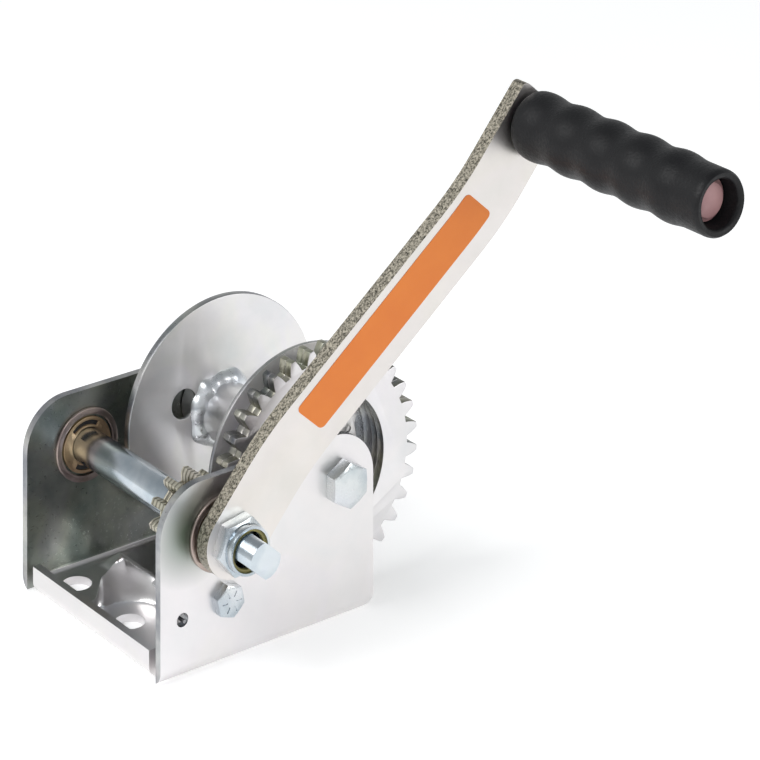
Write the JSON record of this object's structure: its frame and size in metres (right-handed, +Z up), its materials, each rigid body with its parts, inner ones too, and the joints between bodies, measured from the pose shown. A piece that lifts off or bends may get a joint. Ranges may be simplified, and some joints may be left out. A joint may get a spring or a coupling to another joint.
{
  "type": "trailer winch",
  "caption": "Hand cranked trailer winch: a folded steel frame, a geared cable drum, a pinion shaft with a joggled crank and finger grip, and a ratchet pawl.",
  "frame": {"origin": "the middle of the base's underside: mid width, and halfway from the front lip to the rear edge", "axes": "+X along the shafts towards the crank, +Y from the front lip to the rear, +Z up"},
  "size_m": [0.2356, 0.1525, 0.1885],
  "materials": {
    "zinc_sheet": "bright zinc plated",
    "zinc_gear": "bright zinc plated",
    "zinc_arm": "bright zinc plated bar",
    "yellow_zinc": "yellowish zinc plated teeth",
    "shaft_steel": "turned and plated",
    "blue_zinc": "blue bright zinc",
    "weld_metal": "plated weld bead",
    "bronze": "sintered bronze",
    "black_grip": "fine textured",
    "orange_label": "printed film, no lettering",
    "olive_nylon": "nylon",
    "white_nylon": "nylon",
    "end_washer": "smooth",
    "spring_wire": "drawn wire"
  },
  "bodies": {
    "frame": {"frame": "zinc_sheet", "bearing_ring_far": "zinc_sheet", "bearing_ring_near": "zinc_sheet", "bushing_far": "bronze", "bushing_near": "bronze", "drum_bolt": "blue_zinc", "drum_bolt_washer": "zinc_sheet", "drum_bolt_nut": "blue_zinc", "pawl_washer": "zinc_sheet", "pawl_bolt": "blue_zinc", "pawl_nut": "blue_zinc", "pawl_spring": "spring_wire"},
    "drum": {"drum_core": "zinc_gear", "drum_bushings": "white_nylon", "drum_flange_far": "zinc_gear", "drum_flange_near": "zinc_gear", "gear_spacer": "zinc_gear", "gear_plate_inner": "zinc_gear", "gear_plate_outer": "zinc_gear", "core_welds": "weld_metal", "gear_welds": "weld_metal"},
    "crank": {"drive_shaft": "shaft_steel", "pinion": "yellow_zinc", "shaft_washer": "zinc_sheet", "shaft_clip": "spring_wire", "handle_arm": "zinc_arm", "handle_nut": "blue_zinc", "handle_nut_ring": "olive_nylon", "handle_label": "orange_label", "grip_axle": "shaft_steel", "grip_end_washer": "end_washer"},
    "grip": {"grip": "black_grip"},
    "pawl": {"pawl": "zinc_sheet"}
  },
  "joints": [
    {"name": "drum_spin", "type": "hinge", "parent": "frame", "child": "drum", "pos_m": [0, 0.03236, 0.0496], "axis": [1, 0, 0], "continuous": true},
    {"name": "crank_spin", "type": "hinge", "parent": "frame", "child": "crank", "pos_m": [0, -0.0209, 0.0467], "axis": [1, 0, 0], "continuous": true},
    {"name": "grip_spin", "type": "hinge", "parent": "crank", "child": "grip", "pos_m": [0, 0.09241, 0.17477], "axis": [1, 0, 0], "continuous": true},
    {"name": "pawl_pivot", "type": "hinge", "parent": "frame", "child": "pawl", "pos_m": [0, -0.0184, 0.0227], "axis": [1, 0, 0], "range_deg": [-14, 8]}
  ],
  "couplings": [
    {"joint": "crank_spin", "follows": "drum_spin", "ratio": -3.2}
  ]
}
